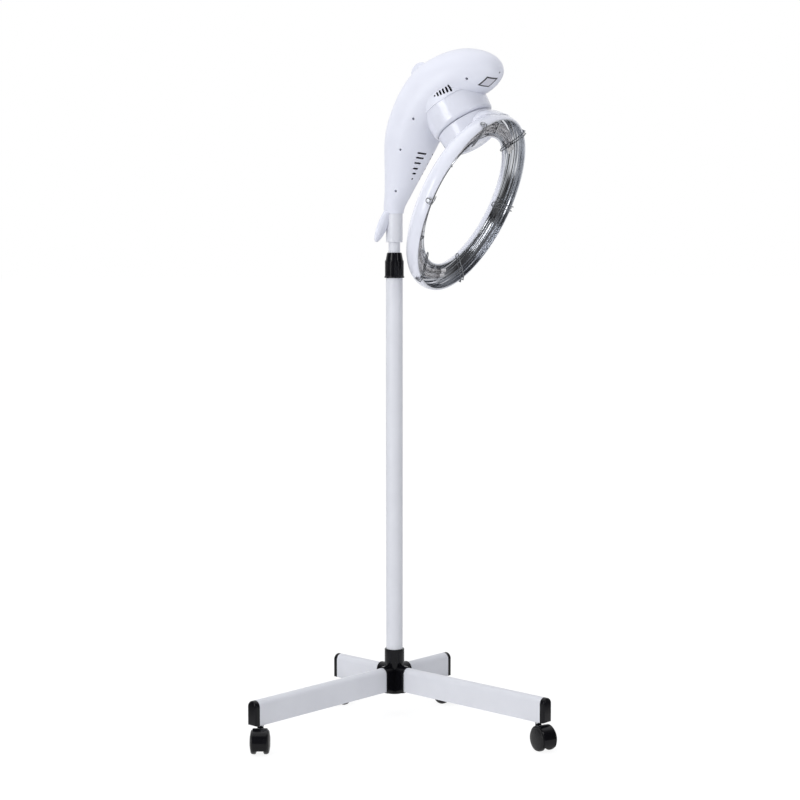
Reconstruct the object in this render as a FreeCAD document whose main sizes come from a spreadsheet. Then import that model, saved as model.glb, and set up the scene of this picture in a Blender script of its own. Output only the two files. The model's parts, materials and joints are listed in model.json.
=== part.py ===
"""Hair color processor: a halo of infrared heat that orbits the client's head, on a rolling stand.

Frame: +Z up, origin on the pole axis at the floor, long base legs towards -Y. Millimetres.
The head frame is turned by head_yaw about Z; in it the head looks along +X. The orbit frame sits
in the gap between motor cup and hub with its Z axis up the orbit axis, and the halo frame sits at
the centre of the halo's front rim with its Z axis out of the halo's back and its X axis up.
"""
import FreeCAD, Part
import math
import os
import re

import Sketcher

Vector = FreeCAD.Vector
Rotation = FreeCAD.Rotation
Placement = FreeCAD.Placement

doc = FreeCAD.newDocument("hair_color_processor")
sheet = doc.addObject("Spreadsheet::Sheet", "dims")

# ---------------------------------------------------------------- driving dimensions
DIMENSIONS = {
    # stand
    "leg_height": 50, "leg_width": 25, "leg_wall": 1.5, "leg_clearance": 7,
    "leg_bottom_z": "=wheel_radius*2 + leg_clearance",
    "leg_reach_front": 405, "leg_reach_rear": 160, "stem_inset": 13,
    "cap_thickness": 11, "cap_plug": 26, "cap_round": 4,
    "pole_radius": 17.5, "pole_wall": 1.5, "pole_top_z": 963,
    "hub_wall": 3.5, "hub_radius": "=pole_radius + hub_wall", "hub_rise": 85, "web_rise": 2,
    "hub_web_z": "=leg_bottom_z + web_rise", "hub_top_z": "=hub_web_z + hub_rise",
    "hub_floor": 8, "hub_arm_length": 17, "hub_arm": "=hub_radius + hub_arm_length",
    "hub_arm_wall": 2.6, "leg_start": 3.5, "leg_root": "=hub_radius + leg_start",
    "plate_lip": 1.7, "plate_radius": "=hub_radius + plate_lip", "plate_thickness": 5,
    # casters
    "wheel_radius": 24.5, "wheel_width": 11, "wheel_gap": 14.6, "wheel_dome": 1.8, "axle_radius": 3,
    "trail": 18, "stem_radius": 5, "hood_gap": 0.6, "hood_wall": 1.6,
    "hood_half_width": 15, "hood_skirt_z": 11, "core_half_width": 6.4,
    # height lock and upper tube
    "mast_radius": 12.2, "mast_wall": 1.5, "mast_drop": 463, "mast_rise": 135,
    "mast_bottom_z": "=pole_top_z - mast_drop", "mast_top_z": "=pole_top_z + mast_rise",
    "nut_drop": 31, "nut_grip_rise": 5.5, "nut_rise": 21.5,
    "nut_bottom_z": "=pole_top_z - nut_drop", "nut_grip_z": "=pole_top_z + nut_grip_rise",
    "nut_top_z": "=pole_top_z + nut_rise", "nut_wall": 2.3, "nut_lip": 1, "nut_step": 1.4,
    "nut_radius": "=pole_radius + nut_wall", "nut_flange": "=nut_radius + nut_lip",
    "nut_flange_height": 4, "nut_cone_bottom": "=nut_radius - nut_step", "nut_nose": 3.4,
    "nut_cone_top": "=mast_radius + nut_nose", "guide_length": 40, "run_gap": 0.3, "fit_gap": 0.05,
    # head
    "head_yaw": -30.6, "head_datum": 1098, "head_lift": "=mast_top_z - head_datum",
    "sleeve_wall": 5.2, "sleeve_radius": "=mast_radius + sleeve_wall", "sleeve_drop": 92,
    "sleeve_cap": 6, "sleeve_bottom_z": "=mast_top_z - sleeve_drop",
    "sleeve_top_z": "=mast_top_z + sleeve_cap",
    "shell_wall": 3, "screw_radius": 2.2, "screw_shank": 1.3, "screw_web": 8, "screw_length": 22,
    "boss_radius": 4, "vent_width": 3.8, "seat_gap": 0.3,
    # orbit axis and motor cup
    "orbit_u": 161.8, "orbit_z": 1247.4, "orbit_tilt": 32.4, "cup_radius": 69, "cup_flare": 8,
    "cup_rim": "=cup_radius - cup_flare", "cup_depth": 48.5, "cup_wall": 3, "cup_round": 7,
    "orbit_gap": 1.6, "shaft_radius": 6, "motor_radius": 27, "motor_length": 36,
    "bearing_radius": 14, "bearing_width": 9, "hub_step": 1, "hub_taper": 2,
    "hub_bowl_radius": "=cup_rim - hub_step", "hub_bowl_waist": "=hub_bowl_radius - hub_taper",
    "hub_bowl_depth": 47, "hub_bowl_wall": 3, "hub_cover_radius": 32.5, "socket_depth": 14,
    "bowl_shoulder": 28, "bowl_turn": 41, "bowl_tuck": 6, "motor_step": 18, "motor_neck": 6,
    # halo
    "halo_hang": 25.85, "halo_drop": 48.13, "halo_tilt": 65.7, "halo_radius": 191.2,
    "halo_band": 50.2, "halo_bore": "=halo_radius - halo_band", "halo_depth": 38,
    "crest_inset": 23.2, "halo_crest": "=halo_radius - crest_inset", "halo_inner_h": 20,
    "halo_wall": 2.2, "mirror_wall": 1, "mirror_gap": 0.3,
    "tube_radius": 4.9, "tube_pitch": 10.8, "tube_inset": 28.2,
    "tube_circle": "=halo_radius - tube_inset", "tube_h": 19.5,
    "tube_start": 37, "tube_end": -184, "end_cap_length": 20, "end_cap_wall": 1.1,
    "end_cap_foot": 8, "clip_wall": 1.5, "clip_length": 3, "clip_foot": 6,
    "guard_screw_shank": 1.4, "guard_screw_head": 3.4, "guard_screw_h": 4.5,
    "guard_head_height": 2.4,
    "guard_wire": 1.1, "guard_pitch": 9.6, "guard_first": -28, "guard_count": 6,
    "guard_gap": 0.3, "guard_flat": 5,
    # controls
    "panel_u": 70, "panel_z": 1262, "panel_length": 96, "panel_height": 46,
    "panel_y": 66, "panel_thickness": 3, "panel_seat": 8, "panel_border": 3, "panel_round": 8,
    "window_length": 32, "window_height": 22, "window_inset": 8, "window_depth": 1.5,
    "key_radius": 7, "key_pitch": 17, "key_offset": 4, "key_travel": 1.5, "key_stalk": 5,
    "gland_u": 13.5, "gland_y": 27.8, "gland_z": 1128, "gland_radius": 9, "gland_bore": 4,
    "gland_length": 22, "gland_thread": 14,
}

# Head housing stations: forward place, height, rise of the spine, half depth, half width.
STATIONS = [
    (0.0, 1066.0, 90.0, "=sleeve_radius + 2.2", "=sleeve_radius + 2.4"),
    (-0.5, 1076.0, 90.0, "=sleeve_radius + 3.8", "=sleeve_radius + 5.6"),
    (4.0, 1092.0, 86.0, "=sleeve_radius + 6.4", "=sleeve_radius + 10.1"),
    (13.5, 1124.0, 80.0, 30.6, 37.5),
    (25.5, 1168.0, 76.0, 42.0, 50.0),
    (39.0, 1215.0, 70.0, 53.0, 61.5),
    (60.0, 1262.0, 56.0, 57.5, 70.0),
    (92.0, 1305.0, 38.0, 62.0, 73.0),
    (132.0, 1334.0, 20.0, 58.0, 71.0),
    (172.0, 1347.5, 6.0, 52.0, 65.0),
    (203.0, 1350.0, 0.0, 44.0, 54.0),
    (224.0, 1350.5, -4.0, 33.5, 41.0),
    (237.5, 1349.5, -8.0, 21.0, 26.0),
    (245.5, 1348.0, -10.0, 6.6, 8.5),
]
STATION_FIELDS = ("u", "z", "rise", "depth", "width")

row = 0
for alias, number in DIMENSIONS.items():
    row += 1
    sheet.set("A%d" % row, str(number))
    sheet.setAlias("A%d" % row, alias)
for index, station in enumerate(STATIONS):
    for field, number in zip(STATION_FIELDS, station):
        row += 1
        sheet.set("A%d" % row, str(number))
        sheet.setAlias("A%d" % row, "station_%d_%s" % (index, field))
doc.recompute()

FUNCTIONS = {"sin", "cos", "tan", "sqrt", "min", "max"}


def bound(text):
    """An expression on the sheet, from one written with the aliases alone."""
    return re.sub(r"[a-z][a-z_0-9]*",
                  lambda m: m.group(0) if m.group(0) in FUNCTIONS else "dims." + m.group(0), text)


def size(text):
    """The value of an expression written with the aliases."""
    return float(sheet.evalExpression(bound(text)))


# ---------------------------------------------------------------- helpers
def new_body(label):
    body = doc.addObject("PartDesign::Body", label)
    body.Label = label
    return body


def new_sketch(body, name, role, lift=None):
    """A sketch on one of the body's own origin planes, raised along its normal by lift."""
    sketch = body.newObject("Sketcher::SketchObject", name)
    plane = next(f for f in body.Origin.OriginFeatures if f.Role == role)
    sketch.AttachmentSupport = (plane, "")
    sketch.MapMode = "FlatFace"
    if lift:
        sketch.setExpression("AttachmentOffset.Base.z", bound(lift))
    return sketch


def bind(sketch, constraint, text):
    index = sketch.addConstraint(constraint)
    sketch.setExpression("Constraints[%d]" % index, bound(text))


def outline(sketch, corners):
    """A closed outline. Each corner is (x, y) or (x, y, mid x, mid y) where an arc follows it."""
    first = sketch.GeometryCount
    count = len(corners)
    places = [Vector(size(c[0]), size(c[1]), 0) for c in corners]
    for i, corner in enumerate(corners):
        start, end = places[i], places[(i + 1) % count]
        if len(corner) == 4:
            middle = Vector(size(corner[2]), size(corner[3]), 0)
            sketch.addGeometry(Part.Arc(start, middle, end))
        else:
            sketch.addGeometry(Part.LineSegment(start, end))
    for i in range(count):
        here, after = first + i, first + (i + 1) % count
        sketch.addConstraint(Sketcher.Constraint(
            "Coincident", here, edge_end(sketch, here, places[(i + 1) % count]),
            after, edge_end(sketch, after, places[(i + 1) % count])))
    for i, corner in enumerate(corners):
        point = edge_end(sketch, first + i, places[i])
        bind(sketch, Sketcher.Constraint("DistanceX", -1, 1, first + i, point, places[i].x),
             corner[0])
        bind(sketch, Sketcher.Constraint("DistanceY", -1, 1, first + i, point, places[i].y),
             corner[1])


def edge_end(sketch, index, place):
    """Which end of a sketch edge, 1 or 2, lies at a place."""
    start = sketch.getPoint(index, 1)
    end = sketch.getPoint(index, 2)
    return 1 if (start - place).Length < (end - place).Length else 2


def ring_outline(sketch, radius, x="0", y="0"):
    """A circle whose radius and centre are bound to the sheet."""
    index = sketch.addGeometry(Part.Circle(Vector(size(x), size(y), 0), Vector(0, 0, 1),
                                           size(radius)))
    bind(sketch, Sketcher.Constraint("DistanceX", -1, 1, index, 3, size(x)), x)
    bind(sketch, Sketcher.Constraint("DistanceY", -1, 1, index, 3, size(y)), y)
    bind(sketch, Sketcher.Constraint("Radius", index, size(radius)), radius)


def revolve(body, name, corners, role="XZ_Plane", cut=False):
    """Turn an outline about the body's Z axis."""
    sketch = new_sketch(body, name + "_outline", role)
    outline(sketch, corners)
    kind = "PartDesign::Groove" if cut else "PartDesign::Revolution"
    feature = body.newObject(kind, name)
    feature.Profile = sketch
    feature.ReferenceAxis = (sketch, ["V_Axis"])
    feature.Angle = 360
    return feature


def pad(body, sketch, name, length, symmetric=False, back=False):
    feature = body.newObject("PartDesign::Pad", name)
    feature.Profile = sketch
    feature.setExpression("Length", bound(length))
    if symmetric:
        feature.SideType = "Symmetric"
    feature.Reversed = back
    return feature


def pocket(body, sketch, name, length, symmetric=False, back=False):
    feature = body.newObject("PartDesign::Pocket", name)
    feature.Profile = sketch
    feature.setExpression("Length", bound(length))
    if symmetric:
        feature.SideType = "Symmetric"
    feature.Reversed = back
    return feature


def polar(body, features, name, count):
    pattern = body.newObject("PartDesign::PolarPattern", name)
    pattern.Originals = features
    pattern.Axis = (next(f for f in body.Origin.OriginFeatures if f.Role == "Z_Axis"), [""])
    pattern.Angle = 360
    pattern.Occurrences = count
    body.Tip = pattern
    return pattern


def turned(angle, axis=Vector(0, 0, 1), base=Vector(0, 0, 0)):
    return Placement(base, Rotation(axis, angle))


def piece(label, shape, place=None):
    """A sub-part whose shape is worked out by Part's functions."""
    feature = doc.addObject("Part::Feature", label)
    feature.Label = label
    feature.Shape = shape
    if place:
        feature.Placement = place
    return feature


def solid_cylinder(radius, height, base, axis=Vector(0, 0, 1)):
    return Part.makeCylinder(radius, height, base, axis)


HEAD = turned(size("head_yaw"), base=Vector(0, 0, size("head_lift")))
ORBIT_POINT = Vector(size("orbit_u"), 0, size("orbit_z"))
ORBIT = HEAD * Placement(ORBIT_POINT, Rotation(Vector(0, 1, 0), -size("orbit_tilt")))
HALO = (HEAD * Placement(ORBIT_POINT, Rotation(Vector(0, 1, 0), -size("halo_tilt")))
        * Placement(Vector(-size("halo_crest - halo_hang"), 0, -size("halo_depth + halo_drop")),
                    Rotation()))
LEGS = {"front_left": (225, "leg_reach_front"), "front_right": (315, "leg_reach_front"),
        "rear_right": (45, "leg_reach_rear"), "rear_left": (135, "leg_reach_rear")}
# Resting swivel of each caster about its stem, measured from the row's X axis to its trail.
CASTER_TURN = {"front_left": -92, "front_right": -62, "rear_right": -52, "rear_left": -128}

nodes = []


# ---------------------------------------------------------------- stand
def arched(inset, top="0"):
    """The leg's section drawn inset from its outside: flat sides, flat base, round top."""
    half = "leg_width/2 - (%s)" % inset
    shoulder = "leg_bottom_z + leg_height - leg_width/2"
    crown = "leg_bottom_z + leg_height - (%s)" % inset
    floor = "leg_bottom_z + (%s)" % inset
    return [("-(%s)" % half, floor), (half, floor), (half, shoulder, "0", crown),
            ("-(%s)" % half, shoulder)]


def make_hub():
    body = new_body("base_hub")
    bore = "pole_radius + fit_gap"
    revolve(body, "sleeve", [
        ("0", "hub_web_z - hub_floor + 3"), ("hub_radius - 2", "hub_web_z - hub_floor + 3"),
        ("hub_radius - 2", "hub_web_z + 44"), ("hub_radius", "hub_web_z + 56"),
        ("hub_radius", "hub_top_z - 1"), ("hub_radius - 1", "hub_top_z"),
        (bore, "hub_top_z"), (bore, "hub_web_z + hub_floor"), ("0", "hub_web_z + hub_floor")])
    arm_sketch = new_sketch(body, "arm_outline", "YZ_Plane")
    outline(arm_sketch, arched("-hub_arm_wall"))
    arm = pad(body, arm_sketch, "arm", "hub_arm")
    polar(body, [arm], "arms", 4)
    bore_sketch = new_sketch(body, "bore_outline", "XY_Plane", "hub_web_z + hub_floor")
    ring_outline(bore_sketch, bore)
    pocket(body, bore_sketch, "bore", "hub_top_z", back=True)
    socket_sketch = new_sketch(body, "socket_outline", "YZ_Plane", "leg_root - fit_gap")
    outline(socket_sketch, arched("-fit_gap"))
    socket = pocket(body, socket_sketch, "socket", "hub_arm", back=True)
    polar(body, [socket], "sockets", 4)
    body.Placement = turned(45)
    nodes.append(body)


def make_base_plate():
    body = new_body("base_plate")
    low = "hub_web_z - hub_floor + 3 - plate_thickness"
    revolve(body, "disc", [
        ("0", low + " + 1.5"), ("7", low + " + 1.5"), ("8", low), ("plate_radius - 2", low),
        ("plate_radius", low + " + 2"), ("plate_radius", low + " + plate_thickness - 1"),
        ("plate_radius - 1", low + " + plate_thickness"), ("0", low + " + plate_thickness")])
    nodes.append(body)


def make_leg(name, angle, reach):
    body = new_body("leg_" + name)
    tube = new_sketch(body, "tube_outline", "YZ_Plane", "leg_root")
    outline(tube, arched("0"))
    outline(tube, arched("leg_wall"))
    pad(body, tube, "tube", "%s - leg_root" % reach)
    hole = new_sketch(body, "stem_hole_outline", "XY_Plane", "leg_bottom_z")
    ring_outline(hole, "stem_radius + fit_gap", "%s - stem_inset" % reach)
    pocket(body, hole, "stem_hole", "leg_wall*2", back=True)
    body.Placement = turned(angle)
    nodes.append(body)


def make_leg_cap(name, angle, reach):
    body = new_body("leg_cap_" + name)
    face = new_sketch(body, "cap_outline", "YZ_Plane", reach)
    outline(face, arched("0"))
    cap = pad(body, face, "cap", "cap_thickness")
    doc.recompute()
    rim = [("Edge%d" % (i + 1)) for i, edge in enumerate(cap.Shape.Edges)
           if edge.BoundBox.XMin > size(reach + " + cap_thickness") - 0.01]
    rounded = body.newObject("PartDesign::Fillet", "cap_rounding")
    rounded.Base = (cap, rim)
    rounded.setExpression("Radius", bound("cap_round"))
    plug = new_sketch(body, "plug_outline", "YZ_Plane", reach)
    outline(plug, arched("leg_wall + fit_gap"))
    pad(body, plug, "plug", "cap_plug", back=True)
    hole = new_sketch(body, "stem_hole_outline", "XY_Plane", "leg_bottom_z")
    ring_outline(hole, "stem_radius + fit_gap", "%s - stem_inset" % reach)
    pocket(body, hole, "stem_hole", "leg_height*0.7", back=True)
    body.Placement = turned(angle)
    nodes.append(body)


def stem_places():
    """Each caster's stem axis on the floor and its swivel angle."""
    for name, (angle, reach) in LEGS.items():
        radius = size("%s - stem_inset" % reach)
        where = Vector(radius * math.cos(math.radians(angle)),
                       radius * math.sin(math.radians(angle)), 0)
        yield name, where, CASTER_TURN[name]


def make_caster_stems():
    """Four steel stems, pressed into the leg ends, with the shoulder the leg rests on."""
    top = size("leg_bottom_z + leg_height*0.6")
    neck_top = size("leg_bottom_z")
    neck_low = size("wheel_radius*2 + hood_gap + hood_wall + 0.3")
    hood_bottom = size("wheel_radius + 9")
    stems = []
    for _, where, _ in stem_places():
        up = solid_cylinder(size("stem_radius"), top - hood_bottom, where + Vector(0, 0, hood_bottom))
        collar = solid_cylinder(size("stem_radius + 2"), neck_top - neck_low,
                                where + Vector(0, 0, neck_low))
        stems.append(up.fuse(collar).removeSplitter())
    nodes.append(piece("caster_stems", Part.makeCompound(stems)))


def make_hood(name, where, turn):
    """The moulded hood: a core web between the wheels and a fender over them."""
    body = new_body("caster_hood_" + name)
    outer = "wheel_radius + hood_gap + hood_wall"
    skirt = "hood_skirt_z - wheel_radius"
    reach = "sqrt((%s)*(%s) - (%s)*(%s))" % (outer, outer, skirt, skirt)
    shell_sketch = new_sketch(body, "fender_outline", "XZ_Plane")
    outline(shell_sketch, [("-(%s)" % reach, skirt), (reach, skirt, "0", outer)])
    fender = pad(body, shell_sketch, "fender", "hood_half_width*2", symmetric=True)
    doc.recompute()
    sides = [("Edge%d" % (i + 1)) for i, edge in enumerate(fender.Shape.Edges)
             if abs(edge.BoundBox.YMax - edge.BoundBox.YMin) < 0.01 and edge.BoundBox.ZMax > 5]
    softened = body.newObject("PartDesign::Chamfer", "fender_edge")
    softened.Base = (fender, sides)
    softened.Size = 1.2
    for side, sign in (("left", ""), ("right", "-")):
        bay = new_sketch(body, side + "_bay_outline", "XZ_Plane", sign + "core_half_width")
        ring_outline(bay, "wheel_radius + hood_gap")
        pocket(body, bay, side + "_bay", "hood_half_width", back=(sign == ""))
    boss_sketch = new_sketch(body, "boss_outline", "XY_Plane", "3")
    ring_outline(boss_sketch, "stem_radius + 1.35", "-trail")
    pad(body, boss_sketch, "boss", "wheel_radius + hood_gap + hood_wall - 3")
    bore_sketch = new_sketch(body, "stem_bore_outline", "XY_Plane", "8")
    ring_outline(bore_sketch, "stem_radius + run_gap/3", "-trail")
    pocket(body, bore_sketch, "stem_bore", "wheel_radius*2", back=True)
    axle_sketch = new_sketch(body, "axle_bore_outline", "XZ_Plane")
    ring_outline(axle_sketch, "axle_radius + fit_gap")
    pocket(body, axle_sketch, "axle_bore", "hood_half_width*2", symmetric=True)
    body.Placement = Placement(where, Rotation(Vector(0, 0, 1), turn)) * Placement(
        Vector(size("trail"), 0, size("wheel_radius")), Rotation())
    nodes.append(body)


def make_axle(name, where, turn):
    axle = doc.addObject("Part::Cylinder", "caster_axle_" + name)
    axle.Label = "caster_axle_" + name
    axle.setExpression("Radius", bound("axle_radius"))
    axle.setExpression("Height", bound("wheel_gap + wheel_width*2 - 6"))
    length = size("wheel_gap + wheel_width*2 - 6")
    axle.Placement = Placement(where, Rotation(Vector(0, 0, 1), turn)) * Placement(
        Vector(size("trail"), length / 2, size("wheel_radius")), Rotation(Vector(1, 0, 0), 90))
    nodes.append(axle)


def make_wheel(name, side, where, turn):
    """One wheel of a twin-wheel caster, its axis along the body's Z axis."""
    body = new_body("caster_wheel_%s_%s" % (name, side))
    bore = "axle_radius + run_gap/3"
    revolve(body, "wheel", [
        (bore, "0.6"), ("wheel_radius*0.45", "0.6"), ("wheel_radius*0.52", "2.4"),
        ("wheel_radius*0.8", "2.4"), ("wheel_radius*0.86", "0"), ("wheel_radius - 2", "0"),
        ("wheel_radius", "2"), ("wheel_radius", "wheel_width*0.6"),
        ("wheel_radius - 1.2", "wheel_width*0.87"), ("wheel_radius - 3.6", "wheel_width"),
        ("wheel_radius*0.45", "wheel_width + wheel_dome"), ("0", "wheel_width + wheel_dome"),
        ("0", "wheel_width - 2.5"), (bore, "wheel_width - 2.5")])
    direction = 1 if side == "left" else -1
    body.Placement = Placement(where, Rotation(Vector(0, 0, 1), turn)) * Placement(
        Vector(size("trail"), direction * size("wheel_gap/2"), size("wheel_radius")),
        Rotation(Vector(1, 0, 0), -90 * direction))
    nodes.append(body)


def make_pole_lower():
    body = new_body("pole_lower")
    tube = new_sketch(body, "tube_outline", "XY_Plane", "hub_web_z + hub_floor")
    ring_outline(tube, "pole_radius")
    ring_outline(tube, "pole_radius - pole_wall")
    pad(body, tube, "tube", "pole_top_z - hub_web_z - hub_floor")
    nodes.append(body)


# ---------------------------------------------------------------- height lock and upper tube
def make_collet():
    """The guide bush in the top of the lower tube, with its tapered clamping nose."""
    body = new_body("mast_collet")
    inside = "pole_radius - pole_wall - fit_gap"
    bore = "mast_radius + fit_gap"
    revolve(body, "bush", [
        (bore, "pole_top_z - 70"), (inside, "pole_top_z - 70"), (inside, "pole_top_z"),
        ("pole_radius - 0.2", "pole_top_z"), ("pole_radius - 0.2", "pole_top_z + 0.8"),
        ("mast_radius + 1.1", "nut_top_z - 2.4"), (bore, "nut_top_z - 2.4")])
    slit = new_sketch(body, "slit_outline", "YZ_Plane")
    outline(slit, [("-0.8", "pole_top_z - 30"), ("0.8", "pole_top_z - 30"),
                   ("0.8", "nut_top_z"), ("-0.8", "nut_top_z")])
    cut = pocket(body, slit, "slit", "pole_radius*2", back=True)
    polar(body, [cut], "slits", 4)
    nodes.append(body)


def make_nut():
    """The twist collar: ribbed grip below, plain cone above."""
    body = new_body("collar_nut")
    bore = "pole_radius + run_gap"
    revolve(body, "collar", [
        (bore, "nut_bottom_z"), ("nut_flange", "nut_bottom_z"),
        ("nut_flange", "nut_bottom_z + nut_flange_height - 1"),
        ("nut_radius", "nut_bottom_z + nut_flange_height"),
        ("nut_radius", "nut_grip_z - 2"), ("nut_radius - 0.7", "nut_grip_z"),
        ("nut_cone_bottom", "nut_grip_z"), ("nut_cone_top", "nut_top_z - 1"),
        ("nut_cone_top - 1", "nut_top_z"), ("mast_radius + run_gap", "nut_top_z"),
        ("mast_radius + run_gap", "nut_top_z - 2"), ("mast_radius + 1.5", "nut_top_z - 2"),
        (bore, "pole_top_z + 1")])
    groove = new_sketch(body, "groove_outline", "XY_Plane", "nut_bottom_z + nut_flange_height")
    ring_outline(groove, "1.5", "nut_radius + 0.75")
    cut = pocket(body, groove, "groove", "nut_grip_z - nut_bottom_z - nut_flange_height - 2.5",
                 back=True)
    polar(body, [cut], "grooves", 16)
    nodes.append(body)


def make_mast():
    body = new_body("mast_upper")
    tube = new_sketch(body, "tube_outline", "XY_Plane", "mast_bottom_z")
    ring_outline(tube, "mast_radius")
    ring_outline(tube, "mast_radius - mast_wall")
    pad(body, tube, "tube", "mast_top_z - mast_bottom_z")
    nodes.append(body)
    guide = new_body("mast_guide")
    inside = "pole_radius - pole_wall - fit_gap"
    revolve(guide, "guide", [
        ("mast_radius", "mast_bottom_z"), (inside, "mast_bottom_z"),
        (inside, "mast_bottom_z + guide_length"), ("mast_radius", "mast_bottom_z + guide_length")])
    nodes.append(guide)


# ---------------------------------------------------------------- head
def make_sleeve():
    """The socket that drops over the upper tube and carries the head."""
    body = new_body("neck_sleeve")
    revolve(body, "sleeve", [
        ("mast_radius + fit_gap", "sleeve_bottom_z"), ("sleeve_radius - 1", "sleeve_bottom_z"),
        ("sleeve_radius", "sleeve_bottom_z + 1"), ("sleeve_radius", "sleeve_top_z"),
        ("0", "sleeve_top_z"), ("0", "mast_top_z"), ("mast_radius + fit_gap", "mast_top_z")])
    body.Placement = turned(size("head_yaw"))
    nodes.append(body)


def oval(place, half_depth, half_width):
    """A closed oval wire of one spline edge, so that all stations start at the same side."""
    circle = Part.Circle(Vector(0, 0, 0), Vector(0, 0, 1), 1.0)
    circle.rotate(turned(135))
    circle = circle.toBSpline()
    matrix = FreeCAD.Matrix()
    matrix.scale(half_depth, half_width, 1.0)
    edge = circle.toShape().transformGeometry(matrix)
    edge.Placement = place
    return Part.Wire([edge])


def station(index):
    return [size("station_%d_%s" % (index, field)) for field in STATION_FIELDS]


def housing_form(inset, first, last):
    """The dolphin-backed form lofted through its stations, drawn inset by a wall."""
    wires = []
    for index in range(first, last):
        u, z, rise, depth, width = station(index)
        # The section's own X axis is its depth and its Z axis runs along the spine.
        place = Placement(Vector(u, 0, z), Rotation(Vector(0, 1, 0), 90 - rise))
        wires.append(oval(place, depth - inset, width - inset))
    return Part.makeLoft(wires, True, False)


def ellipsoid(centre, radii, lean, side=0):
    """A flattened ball, trimmed flat at both tips, whose Z radius leans about Y and then X."""
    matrix = FreeCAD.Matrix()
    matrix.scale(radii[0], radii[1], radii[2])
    ball = Part.makeSphere(1.0, Vector(0, 0, 0), Vector(0, 0, 1), -80, 80, 360)
    shape = ball.transformGeometry(matrix)
    shape.Placement = Placement(centre, Rotation(Vector(1, 0, 0), side)
                                * Rotation(Vector(0, 1, 0), lean))
    return shape


def turned_solid(profile):
    """A solid turned about Z from (radius, height) corners; a corner with four numbers starts
    an arc through its last two."""
    edges = []
    for here, after in zip(profile, profile[1:] + profile[:1]):
        start, end = Vector(here[0], 0, here[1]), Vector(after[0], 0, after[1])
        if len(here) == 4:
            edges.append(Part.Arc(start, Vector(here[2], 0, here[3]), end).toShape())
        else:
            edges.append(Part.LineSegment(start, end).toShape())
    face = Part.Face(Part.Wire(edges))
    return face.revolve(Vector(0, 0, 0), Vector(0, 0, 1), 360)


def in_head(shape, frame):
    """A shape drawn in the orbit or halo frame, moved into the head frame."""
    moved = shape.copy()
    moved.Placement = HEAD.inverse() * frame * moved.Placement
    return moved


def slot_bar(centre, direction, length, width, depth_axis, depth):
    """A round-ended bar along direction, used to cut a vent; depth_axis points into the wall."""
    direction = Vector(direction).normalize()
    across = Vector(depth_axis).cross(direction).normalize()
    half = direction * max(length - width, 0.2) / 2
    side = across * width / 2
    start = Vector(centre)
    lines = [Part.LineSegment(start - half - side, start + half - side),
             Part.Arc(start + half - side, start + half + direction * width / 2,
                      start + half + side),
             Part.LineSegment(start + half + side, start - half + side),
             Part.Arc(start - half + side, start - half - direction * width / 2,
                      start - half - side)]
    face = Part.Face(Part.Wire([line.toShape() for line in lines]))
    return face.extrude(Vector(depth_axis).normalize() * depth)


# Upper vents over the cup: forward place and height on the flank, length along the slant.
UPPER_VENTS = [(160.0, 1316.0, 15.0), (154.0, 1313.2, 13.0), (147.8, 1310.2, 12.0),
               (141.8, 1307.2, 11.0), (136.0, 1304.2, 9.8), (129.8, 1301.0, 3.4)]
# Lower vents up the belly: forward place, sideways place, height, length across.
LOWER_VENTS = [(78.7, 24.4, 1188.0, 22.0), (73.0, 24.0, 1179.0, 18.5), (67.2, 23.2, 1168.5, 15.5),
               (61.3, 21.6, 1157.5, 12.0), (56.7, 18.6, 1147.5, 9.0), (50.8, 16.7, 1136.8, 3.4)]
# Housing screws: forward place and height.
SCREWS = [(79.6, 1257.0), (44.3, 1195.5), (20.0, 1112.0), (194.0, 1334.0)]
# Fin and flukes: centre, radii and lean in degrees; the flukes also spread to either side.
FIN = ((59.5, 0, 1357), (21, 5, 17), -36)
FLUKE = ((-15, 19, 1046), (9, 14.5, 44), 12)
FLUKE_SPREAD = 25
# The fullness over the cup: rise above its foot and radius, from the foot up.
BROW = [(9, -0.4), (30, -6)]
BROW_CROWN = (42, 52, 60)
# Stations of the saddle from the hub to the halo: reach, half width, height and half height.
SADDLE = [(20.0, 46.0, -19.0, 16.5), (45.0, 46.0, -19.5, 16.0), (60.0, 44.0, -20.5, 15.0),
          (74.0, 36.0, -28.0, 11.0), (84.0, 26.0, -36.0, 6.0)]
# Places of the heater's clips about the halo's axis, in degrees.
CLIPS = (0, -60, -120)


def cup_profile(clearance):
    """The motor cup's outside in the orbit frame, grown by a clearance, closed at its top."""
    rim, radius, rounding = size("cup_rim"), size("cup_radius") + clearance, size("cup_round")
    return [(0, -clearance), (rim, -clearance), (rim + clearance, 0, rim + rounding * 0.52
                                                 + clearance, rounding * 0.3),
            (radius - 2.2, rounding + 1), (radius - 0.7, 24),
            (radius, size("cup_depth") + clearance), (0, size("cup_depth") + clearance)]


def cup_brow():
    """The fullness of the housing over the cup, which hides the cup's upper edge."""
    radius = size("cup_radius") + 1.6
    low = size("cup_depth") - 1
    (foot, foot_out), (flank, flank_out) = BROW
    crown, crown_z, top = BROW_CROWN
    return turned_solid([(0, low), (radius, low), (radius + foot_out, low + foot,
                                                   radius + flank_out, low + flank),
                         (crown, low + crown_z), (0, low + top)])


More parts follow.
